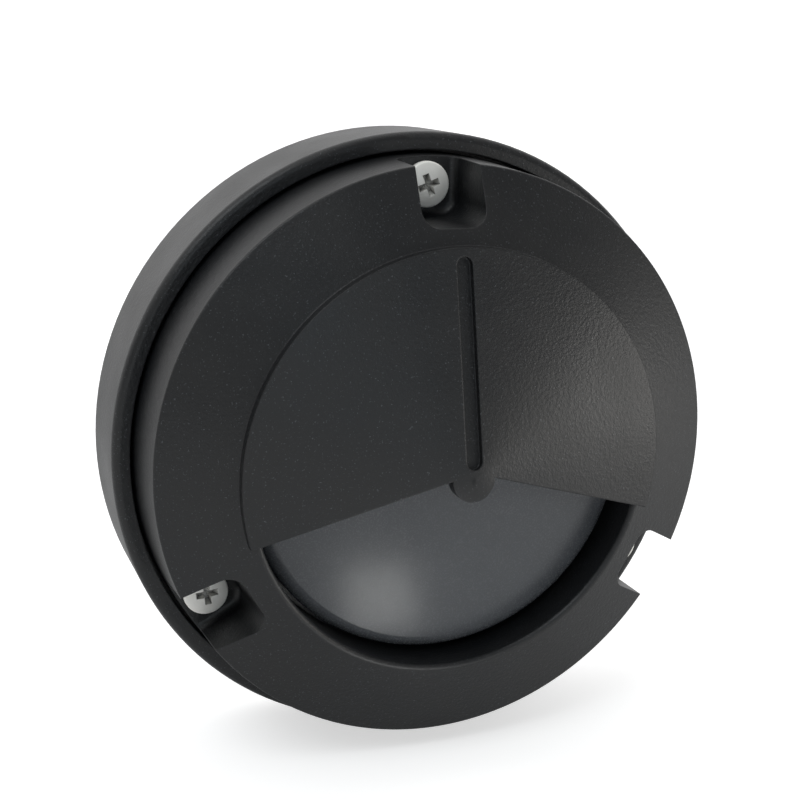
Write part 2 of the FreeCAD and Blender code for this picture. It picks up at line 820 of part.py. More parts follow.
def add_notches(body):
    """Open notches with filleted floors, and the holes that the screws pass."""
    notch = face_sketch(body, notch_floor)
    add_outline(notch, notch_outline(size("face_radius") + BEYOND))
    notch_cut = cut(body, notch, eyelid_tip)
    repeated(body, [notch_cut], THREES, grows=False)

    def floor_corner(edge):
        points = along(edge)
        flat = all(abs(point.z - notch_floor.value) < 1e-4 for point in points)
        outer = ring_edge(size("face_radius"), notch_floor)
        return flat and not outer(edge)
    rounded(body, size("notch_rounding"), floor_corner, grows=True)

    at_screw = around(screw_circle, COVER_ANGLE)
    clear = size("cover_screw_radius") + size("through_fit")
    hole = drill(body, clear, skirt_foot, size("lug_thickness"), *at_screw)
    repeated(body, [hole], THREES, grows=False)
    tapped = size("ear_screw_radius") + size("thread_fit")
    ear_hole = drill(body, tapped, brim_back, size("ear_screw_length"),
                     *around(ear_circle, EAR_ANGLE))
    repeated(body, [ear_hole], THREES, grows=False)


def front_cover():
    """The eyelid cover: a shell of two cones, three open notches and a hooded mouth."""
    body = new_body("front_cover")
    # the eyelid comes first, so that the mouth's cut leaves everything round it whole
    add_eyelid(body)
    add_notch_walls(body)
    add_shell(body)
    add_notches(body)
    rounded(body, size("face_edge_rounding"), ring_edge(size("face_radius"), size("face_height")))
    return body


# ---------------------------------------------------------------------------------------------
# Lens and what holds it
# ---------------------------------------------------------------------------------------------
def lens():
    """Frosted dome: flat crown, round shoulder and a brim that is clamped from behind."""
    body = new_body("lens")
    thick = size("lens_thickness")
    edge = seat_height + size("lens_stand")
    crown = size("lens_crown")
    inside = lens_radius - thick
    profile = profile_sketch(body)
    add_outline(profile, [
        (inside, brim_back),
        (brim_radius, brim_back),
        (brim_radius, brim_front),
        (lens_radius, brim_front),
        (lens_radius, edge, dome_radius(lens_radius, crown)),
        (0, edge + crown),
        (0, edge + crown - thick, -dome_radius(inside, crown)),
        (inside, edge - thick)])
    turned(body, profile)
    rounded(body, size("lens_rounding"), ring_edge(lens_radius, edge))
    rounded(body, size("lens_inner_rounding"), ring_edge(inside, edge - thick), grows=True)
    return body


def lens_gasket():
    """Flat silicone ring between the lens brim and its seat in the cover."""
    body = new_body("lens_gasket")
    ring_plate(body, brim_radius, size("opening_radius") + size("seal_fit"), brim_front,
               size("lens_gasket_thickness"))
    return body


def lens_retainer():
    """Steel ring with three ears, screwed to the cover's bosses from behind."""
    body = new_body("lens_retainer")
    thick = size("retainer_thickness")
    ring_plate(body, brim_radius, retainer_inside, retainer_back, thick)
    half = size("ear_radius")
    ear_turn = Rotation(Vector(0, 0, 1), EAR_ANGLE)
    ear = face_sketch(body, retainer_back, turn=ear_turn)
    add_outline(ear, [
        (brim_radius - size("ear_root"), -half),
        (ear_circle, -half, half),
        (ear_circle + half, 0, half),
        (ear_circle, half),
        (brim_radius - size("ear_root"), half)])
    ear_pad = raised(body, ear, thick)
    repeated(body, [ear_pad], THREES)
    clear = size("ear_screw_radius") + size("snug_fit")
    hole = drill(body, clear, retainer_back, thick, *around(ear_circle, EAR_ANGLE))
    repeated(body, [hole], THREES, grows=False)
    return body


def retainer_screws():
    """Three small screws that enter from behind, so their heads face the wall."""
    body = new_body("retainer_screws")
    shank = size("ear_screw_radius")
    head = shank * size("head_ratio")
    height = shank * size("head_height_ratio")
    x, y = around(ear_circle, EAR_ANGLE)
    profile = profile_sketch(body, x, y)
    add_outline(profile, [
        (0, retainer_back - height),
        (head * size("ear_head_face"), retainer_back - height),
        (head, retainer_back - height * size("ear_head_side")),
        (head, retainer_back),
        (shank, retainer_back),
        (shank, retainer_back + size("ear_screw_length")),
        (0, retainer_back + size("ear_screw_length"))])
    turned(body, profile)
    whole_ring(body)
    return body


# ---------------------------------------------------------------------------------------------
# Gear tray and light engine
# ---------------------------------------------------------------------------------------------
def gear_tray():
    """Pressed steel plate with a turned-back lip, standing on the three posts."""
    body = new_body("gear_tray")
    outer = size("tray_radius")
    thick = size("tray_thickness")
    low = size("post_height")
    profile = profile_sketch(body)
    add_outline(profile, [
        (size("tray_hole_radius"), low),
        (outer - thick, low),
        (outer - thick, low - size("tray_lip")),
        (outer, low - size("tray_lip")),
        (outer, low + thick),
        (size("tray_hole_radius"), low + thick)])
    turned(body, profile)
    clear = size("tray_screw_radius") + size("through_fit")
    at_post = around(size("post_circle"), EAR_ANGLE)
    post_hole = drill(body, clear, low, thick, *at_post)
    repeated(body, [post_hole], THREES, grows=False)
    tapped = size("board_screw_radius") + size("thread_fit")
    at_board = around(size("board_screw_circle"), COVER_ANGLE)
    board_hole = drill(body, tapped, low, thick, *at_board)
    repeated(body, [board_hole], THREES, grows=False)
    return body


def thermal_pad():
    body = new_body("thermal_pad")
    inset = size("pad_inset")
    ring_plate(body, size("board_radius") - inset, size("board_hole_radius") + inset, tray_front,
               size("pad_thickness"))
    clear = size("board_screw_radius") + size("through_fit")
    at_board = around(size("board_screw_circle"), COVER_ANGLE)
    hole = drill(body, clear, tray_front, size("pad_thickness"), *at_board)
    repeated(body, [hole], THREES, grows=False)
    return body


def led_board():
    """Round aluminium board; its leads come up through the middle."""
    body = new_body("led_board")
    ring_plate(body, size("board_radius"), size("board_hole_radius"), board_back,
               size("board_thickness"))
    clear = size("board_screw_radius") + size("snug_fit")
    at_board = around(size("board_screw_circle"), COVER_ANGLE)
    hole = drill(body, clear, board_back, size("board_thickness"), *at_board)
    repeated(body, [hole], THREES, grows=False)
    return body


def led_emitters():
    body = new_body("led_emitters")
    middle = size("emitter_circle")
    half_x = size("emitter_length") * 0.5
    half_y = size("emitter_width") * 0.5
    outline = face_sketch(body, board_front)
    add_box(outline, middle - half_x, middle + half_x, -half_y, half_y)
    raised(body, outline, size("emitter_height"))
    whole_ring(body, EMITTERS)
    return body


def chip(label, angle, length, width, height):
    """One part of the driver, square to the board at an angle on the driver circle."""
    body = new_body(label)
    x, y = around(size("driver_circle"), angle)
    outline = face_sketch(body, board_front, x, y)
    add_box(outline, -length / 2, length / 2, -width / 2, width / 2)
    raised(body, outline, height)
    return body


def bridge_rectifier():
    return chip("bridge_rectifier", 150, 4.7, 3.9, 1.6)


def driver_chip():
    return chip("driver_chip", 30, 4.9, 3.9, 1.5)


def smoothing_capacitor():
    return chip("smoothing_capacitor", 270, 3.2, 2.5, 1.8)


def sense_resistors():
    """Two chip resistors side by side."""
    body = chip("sense_resistors", 180, 1.6, 3.2, 0.6)
    whole_row(body, Size(2.2, "2.2"), 2)
    return body


def reflector():
    """White dish that opens from the board to just behind the retainer."""
    body = new_body("reflector")
    thick = size("reflector_thickness")
    foot = size("reflector_foot")
    mouth = retainer_inside + size("reflector_lap")
    top = retainer_back - size("seal_fit")
    profile = profile_sketch(body)
    add_outline(profile, [
        (foot, tray_front),
        (foot + thick * 2, tray_front),
        (mouth, top),
        (mouth - thick, top),
        (foot + thick, tray_front + thick),
        (foot, tray_front + thick)])
    turned(body, profile)
    return body


# ---------------------------------------------------------------------------------------------
# Terminal block, earth point and leads
# ---------------------------------------------------------------------------------------------
def terminal_block():
    """Moulded block of three poles: a through channel and a screw well for each."""
    body = new_body("terminal_block")
    pitch = size("block_pitch")
    floor = size("base_floor")
    down = size("block_down")
    half = size("block_depth") * 0.5
    outline = face_sketch(body, floor)
    add_box(outline, -pitch * (POLES / 2), pitch * (POLES / 2), -down - half, half - down)
    raised(body, outline, size("block_height"))

    fit = size("barrel_radius") + size("thread_fit") * 2
    channel = new_sketch(body, "XZ_Plane", (-pitch, 0, down + half))
    add_circle(channel, fit, 0, size("barrel_height"))
    channel_cut = cut(body, channel, size("block_depth"), outward=False)
    lined_up(body, [channel_cut], pitch, POLES, grows=False)

    well = drill(body, size("clamp_well"), size("barrel_height"), size("block_height"),
                 -pitch, -down)
    lined_up(body, [well], pitch, POLES, grows=False)

    clear = size("block_screw_radius") + size("snug_fit")
    head = size("block_screw_radius") * size("head_ratio") + size("through_fit")
    hole = drill(body, clear, floor, size("block_height"), -pitch / 2, -down)
    lined_up(body, [hole], pitch, POLES - 1, grows=False)
    sink = drill(body, head, block_seat, size("block_height"), -pitch / 2, -down)
    lined_up(body, [sink], pitch, POLES - 1, grows=False)
    return body


def terminal_barrels():
    """Brass tubes in the channels, each tapped for its clamp screw."""
    body = new_body("terminal_barrels")
    pitch = size("block_pitch")
    down = size("block_down")
    reach = size("block_depth") * 0.5 - size("barrel_recess")
    ring = new_sketch(body, "XZ_Plane", (-pitch, 0, down - reach))
    add_circle(ring, size("barrel_radius"), 0, size("barrel_height"))
    add_circle(ring, size("barrel_bore"), 0, size("barrel_height"))
    raised(body, ring, reach * 2)
    drill(body, size("clamp_radius") + size("thread_fit"), size("barrel_height"),
          size("block_height"), -pitch, -down)
    whole_row(body, pitch, POLES)
    return body


def terminal_screws():
    """Slotted clamp screws, turned down to the leads."""
    body = new_body("terminal_screws")
    pitch = size("block_pitch")
    down = size("block_down")
    low = size("barrel_height") + size("lead_radius") + size("thread_fit")
    high = block_top - size("clamp_sink")
    post(body, size("clamp_radius"), low, high - low, -pitch, -down)
    half = size("clamp_slot")
    slot = face_sketch(body, high - size("clamp_slot_depth"), -pitch, -down)
    add_box(slot, -pitch * 0.5, pitch * 0.5, -half, half)
    cut(body, slot, BEYOND)
    whole_row(body, pitch, POLES)
    return body


def block_screws():
    body = new_body("block_screws")
    pan_screw(body, size("block_screw_radius"), size("block_screw_length"), block_seat,
              -size("block_pitch") / 2, -size("block_down"))
    whole_row(body, size("block_pitch"), POLES - 1)
    return body


def cover_screws():
    body = new_body("cover_screws")
    pan_screw(body, size("cover_screw_radius"), size("cover_screw_length"), notch_floor,
              *around(screw_circle, COVER_ANGLE), turn=20)
    whole_ring(body)
    return body


def tray_screws():
    body = new_body("tray_screws")
    pan_screw(body, size("tray_screw_radius"), size("tray_screw_length"), tray_front,
              *around(size("post_circle"), EAR_ANGLE))
    whole_ring(body)
    return body


def board_screws():
    body = new_body("board_screws")
    pan_screw(body, size("board_screw_radius"), size("board_screw_length"), board_front,
              *around(size("board_screw_circle"), COVER_ANGLE))
    whole_ring(body)
    return body


def earth_screw():
    body = new_body("earth_screw")
    pan_screw(body, size("cover_screw_radius"), size("earth_screw_length"), earth_seat,
              size("earth_right"), size("earth_up"))
    return body


def crimp_height():
    """Height of the earth lead where the tag grips it."""
    return earth_seat - size("tag_thickness") + size("crimp_radius")


def earth_tag():
    """Ring tongue under the earth screw, with a crimp barrel for the lead."""
    body = new_body("earth_tag")
    right = size("earth_right")
    up = size("earth_up")
    ring = size("earth_boss_radius")
    low = earth_seat - size("tag_thickness")
    crimp = size("crimp_radius")
    tongue = face_sketch(body, low, right, up)
    add_circle(tongue, ring)
    add_circle(tongue, size("cover_screw_radius") + size("snug_fit"))
    raised(body, tongue, size("tag_thickness"))
    neck = face_sketch(body, low, right, up)
    add_box(neck, -crimp, crimp, -ring - size("tag_neck"), size("tag_lap") - ring)
    raised(body, neck, size("tag_thickness"))
    barrel = new_sketch(body, "XZ_Plane", (right, 0, ring + size("crimp_gap") - up))
    add_circle(barrel, crimp, 0, crimp_height())
    add_circle(barrel, size("lead_radius") + size("thread_fit") * 2, 0, crimp_height())
    raised(body, barrel, size("crimp_length"))
    return body


def lead(label, route):
    """Round insulated wire along straight runs joined by tangent arcs."""
    points = [Vector(*(value_of(part) for part in point)) for point in route]
    radius = size("lead_radius").value
    edges = []
    start = points[0]
    for before, corner, after in zip(points, points[1:], points[2:]):
        inward = (corner - before).normalize()
        outward = (after - corner).normalize()
        half_turn = inward.getAngle(outward) / 2
        shorter = min((corner - before).Length, (after - corner).Length)
        bend = BEND_SHARE * shorter / math.tan(half_turn)
        middle = outward - inward
        centre = corner + middle.normalize() * (bend / math.cos(half_turn))
        enter = corner - inward * (BEND_SHARE * shorter)
        leave = corner + outward * (BEND_SHARE * shorter)
        crown = centre + (corner - centre).normalize() * bend
        print(f"{label}: bend radius {bend:.1f}")
        edges.append(Part.LineSegment(start, enter).toShape())
        edges.append(Part.Arc(enter, crown, leave).toShape())
        start = leave
    edges.append(Part.LineSegment(start, points[-1]).toShape())
    path = Part.Wire(edges)
    heading = points[1] - points[0]
    section = Part.Wire([Part.makeCircle(radius, points[0], heading)])
    wire = document.addObject("Part::Feature", label)
    wire.Label = label
    wire.Shape = path.makePipeShell([section], True, False)
    expected = math.pi * radius ** 2 * path.Length
    if abs(wire.Shape.Volume / expected - 1) > 0.02:
        raise RuntimeError(f"{label}: volume {wire.Shape.Volume:.2f}, expected {expected:.2f}")
    return wire


def supply_lead(label, pole, side, rise):
    """From one pole of the block, up through the middle of the board and out to its pad."""
    x = size("block_pitch") * pole
    high = size("barrel_height")
    spread = size("lead_spread") * side
    over = board_front + size("lead_radius") + size("thread_fit")
    return lead(label, [
        (x, size("lead_grip") - size("block_down"), high),
        (x, rise, high),
        (spread, 0, high + 1.4),
        (spread, 0, over),
        (size("lead_end") * side, 0, over)])


def lead_live():
    return supply_lead("lead_live", -1, -1, -2)


def lead_neutral():
    return supply_lead("lead_neutral", 0, 1, -4)


def lead_earth():
    """From the right pole to the crimp of the earth tag."""
    x = size("block_pitch")
    right = size("earth_right")
    high = size("barrel_height")
    grip = size("earth_up") - size("earth_boss_radius") - size("crimp_radius")
    return lead("lead_earth", [
        (x, size("lead_grip") - size("block_down"), high),
        (x, -7, high),
        (x + 5, -4.5, high + 0.5),
        (right, -4, crimp_height()),
        (right, grip, crimp_height())])


SUB_PARTS = [
    base_housing, wall_gasket, cable_grommet, cover_gasket, front_cover, cover_screws,
    lens, lens_gasket, lens_retainer, retainer_screws,
    gear_tray, tray_screws, reflector, thermal_pad, led_board, board_screws, led_emitters,
    bridge_rectifier, driver_chip, smoothing_capacitor, sense_resistors,
    terminal_block, terminal_barrels, terminal_screws, block_screws,
    earth_screw, earth_tag, lead_live, lead_neutral, lead_earth,
]

# local z, out of the wall, becomes -Y; local y becomes +Z
FACING = Placement(Vector(0, 0, 0), Rotation(Vector(1, 0, 0), 90))


def main():
    parts = [build() for build in SUB_PARTS]
    for part in parts:
        part.Placement = FACING
    document.recompute()
    for item in document.Objects:
        if "Invalid" in item.State or "Error" in item.State:
            raise RuntimeError(f"{item.Name} failed: {item.State}")
    for part in parts:
        if part.Shape.isNull() or not part.Shape.isValid():
            raise RuntimeError(f"{part.Label} has no valid shape")
    os.makedirs("parts", exist_ok=True)
    for part in parts:
        part.Shape.exportStep(f"parts/{part.Label}.step")
        print(f"{part.Label}: {len(part.Shape.Solids)} solid(s), {part.Shape.Volume:.0f} mm3")


main()
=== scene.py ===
# %% [markdown]
# # A step light with an eyelid cover
#
# The real light is a small die-cast cup on a wall, with a die-cast cover screwed into its rim. The
# cover is a low cone, and a second cone inside it, the eyelid, hoods a frosted lens so that light
# falls only on the step below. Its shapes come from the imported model. This lesson gives them their
# finishes, makes the screws as they really are, and takes the picture.

import json
from math import cos, pi, radians, sin, sqrt

import bmesh
import bpy
from mathutils import Matrix, Vector


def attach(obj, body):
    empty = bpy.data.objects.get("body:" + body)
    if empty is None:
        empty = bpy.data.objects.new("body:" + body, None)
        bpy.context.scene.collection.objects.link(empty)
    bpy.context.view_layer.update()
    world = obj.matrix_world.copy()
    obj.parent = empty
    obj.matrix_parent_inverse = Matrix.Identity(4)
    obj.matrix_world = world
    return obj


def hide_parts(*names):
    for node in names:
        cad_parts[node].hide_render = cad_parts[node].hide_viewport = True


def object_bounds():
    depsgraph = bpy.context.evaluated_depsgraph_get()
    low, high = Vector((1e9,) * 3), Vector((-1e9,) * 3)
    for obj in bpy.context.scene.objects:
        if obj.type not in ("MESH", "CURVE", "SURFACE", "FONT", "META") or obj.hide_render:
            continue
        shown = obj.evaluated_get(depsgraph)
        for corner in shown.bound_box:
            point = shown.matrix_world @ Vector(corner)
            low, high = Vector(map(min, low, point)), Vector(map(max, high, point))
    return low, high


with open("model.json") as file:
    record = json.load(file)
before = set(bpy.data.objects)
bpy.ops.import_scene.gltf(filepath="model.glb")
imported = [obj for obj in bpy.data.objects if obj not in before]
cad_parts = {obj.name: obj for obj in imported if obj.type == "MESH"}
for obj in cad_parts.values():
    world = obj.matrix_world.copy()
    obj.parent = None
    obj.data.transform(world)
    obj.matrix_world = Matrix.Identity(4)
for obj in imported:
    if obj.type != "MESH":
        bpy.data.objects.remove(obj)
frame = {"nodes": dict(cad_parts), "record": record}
nodes = frame["nodes"]
cad_low, cad_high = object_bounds()
scene = bpy.context.scene
print("pieces in the frame:", len(nodes))
print("size in mm:", [round(1000 * side) for side in cad_high - cad_low])

# %% [markdown]
# ## Places on the light
#
# The model is in metres, and its drawing is in millimetres: x to the right, y up, and a height out
# of the wall. One matrix turns the drawing upright, so that a piece can be made lying flat with its
# head up, as on a workbench, and then be stood on the wall.

# %% Units and the matrix from workbench to wall
MM = 0.001
ON_WALL = Matrix.Rotation(pi / 2, 4, "X") @ Matrix.Scale(MM, 4)
cover_centre = ON_WALL @ Vector((0, 0, 29.8))
print("the cover's centre is at", cover_centre)

# %% [markdown]
# ## Camera
#
# The photograph looks at the light from its left and a little from above, from about 31 cm away. It
# is squeezed sideways, so this camera keeps its angle, distance and height in the frame, and shows
# the light as round as it is. The slight roll is the photograph's own.

# %% Camera at the photograph's angle
IMAGE_SIDE = 800
CENTRE_AT = (441.0, 457.5)        # where the cover's centre falls, in pixels from the top left
FOCAL_PIXELS = 1809.9
DISTANCE = 308.8 * MM
TO_THE_LEFT, ABOVE, ROLL = radians(22.64), radians(16.37), radians(1.22)
SENSOR_WIDTH = 36

away = Vector((-sin(TO_THE_LEFT) * cos(ABOVE), -cos(TO_THE_LEFT) * cos(ABOVE), sin(ABOVE)))
view = bpy.data.cameras.new("photo_camera")
view.sensor_width = SENSOR_WIDTH
view.lens = FOCAL_PIXELS / IMAGE_SIDE * SENSOR_WIDTH
view.shift_x = (IMAGE_SIDE / 2 - CENTRE_AT[0]) / IMAGE_SIDE
view.shift_y = (CENTRE_AT[1] - IMAGE_SIDE / 2) / IMAGE_SIDE
view.clip_start = 10 * MM
camera = bpy.data.objects.new("photo_camera", view)
camera.location = cover_centre + away * DISTANCE
turn = (-away).to_track_quat("-Z", "Y").to_matrix() @ Matrix.Rotation(ROLL, 3, "Z")
camera.rotation_euler = turn.to_euler()
scene.collection.objects.link(camera)
scene.camera = camera
print("focal length in mm:", round(view.lens, 1))

# %% [markdown]
# ## Nodes in one line
#
# Finishes, the floor, the world and the tree that sets out screws are all node trees. This helper
# adds one node, gives it its settings, and fills its inputs with numbers, colours or links.


# %% Add a node and fill it
def plug(tree, node, name, value):
    """Set an input, or link into it."""
    socket = node.inputs[name]
    if isinstance(value, bpy.types.NodeSocket):
        tree.links.new(value, socket)
    elif socket.type == "RGBA":
        socket.default_value = (*value, 1)
    else:
        socket.default_value = value


def add_node(tree, kind, inputs=None, **settings):
    """A new node with its settings, and with its inputs set or linked."""
    node = tree.nodes.new(kind)
    for name, value in settings.items():
        setattr(node, name, value)
    for name, value in (inputs or {}).items():
        plug(tree, node, name, value)
    return node


print("nodes can be added to any tree")

# %% [markdown]
# ## A small kit for finishes
#
# A real finish is never one flat colour. Every finish here is a Principled shader whose colour,
# roughness and bump come from noise, read in Object coordinates so that it lies on the piece at its
# real scale. One small class adds the nodes, so that each finish below reads like a recipe.

finishes = {}


class Finish:
    """A material that is built up node by node round one Principled shader."""

    def __init__(self, name, **settings):
        self.material = bpy.data.materials.new(name + "_finish")
        finishes[name] = self.material
        self.material.use_nodes = True
        self.tree = self.material.node_tree
        self.shader = self.tree.nodes["Principled BSDF"]
        self.place = self.add("TexCoord").outputs["Object"]
        self.set(**settings)

    def set(self, **settings):
        """Numbers go on the shader's own sockets, and links into them."""
        for name, value in settings.items():
            plug(self.tree, self.shader, name.replace("_", " "), value)

    def add(self, kind, inputs=None, **settings):
        """A shader node in this finish's tree."""
        return add_node(self.tree, "ShaderNode" + kind, inputs, **settings)

    def noise(self, size, detail=2.0, place=None):
        """Noise from 0 to 1 whose blotches are about this many millimetres wide."""
        inputs = {"Vector": place or self.place, "Scale": 1 / (size * MM), "Detail": detail}
        return self.add("TexNoise", inputs).outputs["Fac"]

    def spread(self, value, low=0.0, high=1.0, start=0.3, end=0.7):
        """Map the part of a value from start to end on to low to high."""
        inputs = {"Value": value, "From Min": start, "From Max": end, "To Min": low, "To Max": high}
        return self.add("MapRange", inputs).outputs["Result"]

    def blend(self, share, first, second):
        """Mix two colours, which are a Mix node's inputs 6 and 7, and its output 2."""
        return self.add("Mix", {"Factor": share, 6: first, 7: second}, data_type="RGBA").outputs[2]

    def math(self, operation, *values):
        """One sum with sockets or numbers."""
        return self.add("Math", dict(enumerate(values)), operation=operation).outputs["Value"]

    def bump(self, height, depth, normal=None):
        """Raise the surface by up to this many millimetres where the height is 1."""
        inputs = {"Height": height, "Distance": depth * MM}
        if normal is not None:
            inputs["Normal"] = normal
        return self.add("Bump", inputs).outputs["Normal"]

    def soft_edges(self, radius):
        """Normals of the same shape with every edge rounded by this many millimetres."""
        return self.add("Bevel", {"Radius": radius * MM}, samples=6).outputs["Normal"]


print("finishes will read Object coordinates, in metres")

# %% [markdown]
# ## Powder coat
#
# The cup and the cover are cast in aluminium and sprayed with black powder, which melts into a skin
# with a fine leathery grain. It fills sharp corners, so edges look soft, and in the light its grain
# breaks the gloss into small glints. Three sizes of noise do this: slow changes in colour and
# gloss, the skin's grain, and the fine grit in it. The fine grit also places painted glints: light
# specks painted into the coat's colour.

# %% Powder coat
coat = Finish("cast_black", IOR=1.5)
slow = coat.noise(14)
grain = coat.noise(0.62, detail=3)
grit = coat.noise(0.3)
black = coat.blend(coat.spread(slow), (0.0058, 0.0066, 0.0078), (0.0080, 0.0084, 0.0090))
# Painted glints: where the fine grit is high, the coat's colour is mixed towards a light grey speck.
painted_glints = coat.spread(grit, start=0.64, end=0.78)
skin = coat.bump(grit, 0.034, coat.soft_edges(0.35))
coat.set(
    Base_Color=coat.blend(painted_glints, black, (0.075, 0.082, 0.09)),
    Roughness=coat.spread(slow, 0.36, 0.44),
    Normal=coat.bump(grain, 0.058, skin))
print("made:", coat.material.name)

# %% [markdown]
# ## Metals
#
# Zinc-plated steel and brass are bare, and differ in colour and in how evenly they shine. The
# stainless screws are blasted to a dull, nearly white surface, so most of what it shows is colour
# and little is mirror. Fine noise stretched one way stands for rolling or turning marks, and slow
# noise for handling. Ambient Occlusion finds the recesses and darkens them with painted shade.

# %% Metals
SMALL_EDGE = 0.1         # rounding of a small piece's edges
MARKS_DEPTH = 0.004
RECESS_WIDTH = 0.9
IN_A_RECESS = 0.07       # share of the metal's colour that is left in a recess's painted shade


def metal(name, colour, shade, roughness, bareness):
    """Metal between two colours, with fine marks, a slightly uneven gloss and painted shade in
    recesses.
    """
    bare = Finish(name, Metallic=bareness)
    stretch = bare.add("Mapping", {"Vector": bare.place, "Scale": (1, 6, 1)}).outputs["Vector"]
    marks = bare.noise(0.5, 3, stretch)
    clean = bare.blend(bare.spread(bare.noise(3)), colour, shade)
    # Painted shade: the colour in recesses is darkened to a small share of the metal's colour.
    recess_shade = [IN_A_RECESS * part for part in shade]
    shelter = bare.add("AmbientOcclusion", {"Distance": RECESS_WIDTH * MM}, samples=8)
    openness = bare.spread(shelter.outputs["AO"], start=0.45, end=0.95)
    bare.set(
        Base_Color=bare.blend(openness, recess_shade, clean),
        Roughness=bare.spread(marks, roughness - 0.06, roughness + 0.08),
        Normal=bare.bump(marks, MARKS_DEPTH, bare.soft_edges(SMALL_EDGE)))
    print("made:", bare.material.name)


for recipe in (
        ("stainless", (0.97, 0.96, 0.91), (0.92, 0.91, 0.86), 0.48, 0.15),
        ("zinc_steel", (0.62, 0.63, 0.65), (0.50, 0.51, 0.54), 0.34, 1.0),
        ("brass", (0.78, 0.60, 0.28), (0.66, 0.48, 0.20), 0.30, 1.0),
        ("tinned", (0.70, 0.69, 0.66), (0.58, 0.57, 0.54), 0.36, 1.0)):
    metal(*recipe)

# %% [markdown]
# ## Mouldings, rubber and insulation
#
# Moulded plastic, silicone, solder resist and rubber share one recipe: two close colours, a gloss,
# and a grain whose size and depth tell them apart.


# %% Mouldings and rubber
def moulded(name, colour, shade, roughness, grain_size, grain_depth):
    """Matt or satin surface between two close colours."""
    piece = Finish(name)
    grain = piece.noise(grain_size, 3)
    piece.set(
        Base_Color=piece.blend(piece.spread(piece.noise(5)), colour, shade),
        Roughness=piece.spread(grain, roughness - 0.05, roughness + 0.07),
        Normal=piece.bump(grain, grain_depth, piece.soft_edges(SMALL_EDGE)))
    print("made:", piece.material.name)


for recipe in (
        ("black_rubber", (0.020, 0.020, 0.021), (0.030, 0.029, 0.029), 0.62, 0.5, 0.02),
        ("silicone", (0.42, 0.42, 0.41), (0.50, 0.50, 0.48), 0.50, 0.8, 0.008),
        ("white_reflector", (0.82, 0.82, 0.80), (0.87, 0.87, 0.86), 0.24, 1.2, 0.004),
        ("thermal_pad", (0.30, 0.38, 0.47), (0.36, 0.43, 0.52), 0.66, 0.35, 0.012),
        ("board_white", (0.78, 0.79, 0.76), (0.84, 0.85, 0.83), 0.32, 1.5, 0.003),
        ("chip_black", (0.018, 0.018, 0.020), (0.030, 0.030, 0.033), 0.48, 0.2, 0.004),
        ("ceramic_tan", (0.42, 0.30, 0.19), (0.50, 0.37, 0.25), 0.42, 0.3, 0.004),
        ("block_white", (0.70, 0.68, 0.61), (0.77, 0.75, 0.69), 0.40, 0.7, 0.006),
        ("brown_sleeve", (0.085, 0.032, 0.012), (0.115, 0.045, 0.018), 0.38, 0.5, 0.006),
        ("blue_sleeve", (0.012, 0.055, 0.26), (0.018, 0.075, 0.32), 0.38, 0.5, 0.006)):
    moulded(*recipe)

# %% [markdown]
# ## Earth wire
#
# The earth wire's sleeve is green with a yellow stripe, the same the world over. A wave across the
# wire stands for the stripe that winds round it.

# %% Green and yellow sleeve
sleeve = Finish("earth_sleeve", Roughness=0.38)
stripe = sleeve.add("TexWave", {
    "Vector": sleeve.place, "Scale": 45.0, "Distortion": 0.6, "Detail": 1.0},
    bands_direction="DIAGONAL").outputs["Fac"]
stripe = sleeve.spread(stripe, start=0.45, end=0.55)
sleeve.set(Base_Color=sleeve.blend(stripe, (0.03, 0.20, 0.03), (0.62, 0.52, 0.03)),
           Normal=sleeve.bump(sleeve.noise(0.5), 0.006))
print("made:", sleeve.material.name)

# %% [markdown]
# ## Light-emitting chips
#
# Each chip is a white package with a yellow window of phosphor. The twelve stand on a circle, so
# the window is found from the distance to the light's axis, and from the angle within one twelfth.

# %% Phosphor windows in white packages
CHIPS, CHIP_CIRCLE = 12, 10.5 * MM
WINDOW_ALONG, WINDOW_ACROSS = 1.25 * MM, 1.0 * MM        # half its sides
phosphor = Finish("phosphor", Roughness=0.35)
sums = phosphor.math
chip_place = phosphor.add("SeparateXYZ", {"Vector": phosphor.place}).outputs
across, up = chip_place["X"], chip_place["Z"]
distance = sums("SQRT", sums("ADD", sums("MULTIPLY", across, across), sums("MULTIPLY", up, up)))
off_angle = sums("PINGPONG", sums("ARCTAN2", up, across), pi / CHIPS)
off_circle = sums("ABSOLUTE", sums("SUBTRACT", distance, CHIP_CIRCLE))
in_window = sums("MULTIPLY", sums("LESS_THAN", off_circle, WINDOW_ALONG),
                 sums("LESS_THAN", sums("MULTIPLY", off_angle, distance), WINDOW_ACROSS))
grains = phosphor.spread(phosphor.noise(0.25))
yellow = phosphor.blend(grains, (0.80, 0.56, 0.10), (0.86, 0.66, 0.16))
phosphor.set(Base_Color=phosphor.blend(in_window, (0.80, 0.79, 0.76), yellow),
             Normal=phosphor.bump(grains, 0.003))
print("made:", phosphor.material.name)

# %% [markdown]
# ## Frosted lens
#
# The lens is a satin moulding that lets light through and hides what is behind it. Unlit, it looks
# like smoky grey glass with a wide soft highlight. Light spreads under its skin, which subsurface
# scattering does here, and the skin has a very fine sparkle.

# %% Frosted lens
frosted = Finish("lens_frosted", IOR=1.5, Subsurface_Weight=0.6, Subsurface_Radius=(1, 1, 1),
                 Subsurface_Scale=12 * MM)
frost = frosted.noise(0.28)
frosted.set(
    Base_Color=frosted.blend(frosted.noise(18), (0.070, 0.076, 0.084), (0.084, 0.090, 0.098)),
    Roughness=frosted.spread(frost, 0.22, 0.30),
    Normal=frosted.bump(frost, 0.010))
print("made:", frosted.material.name)

# %% [markdown]
# ## Hand the finishes to the pieces
#
# The record names one material slot for each piece. Every piece of the model keeps its shape and
# takes the finish with its slot's name.

# %% Finishes on the model's pieces
slot_of = {part["node"]: part["material_slot"] for part in frame["record"]["subparts"]}
for name, piece in nodes.items():
    for place in piece.material_slots:
        place.material = finishes[slot_of[name]]
print("finishes in use:", len(set(slot_of.values())))

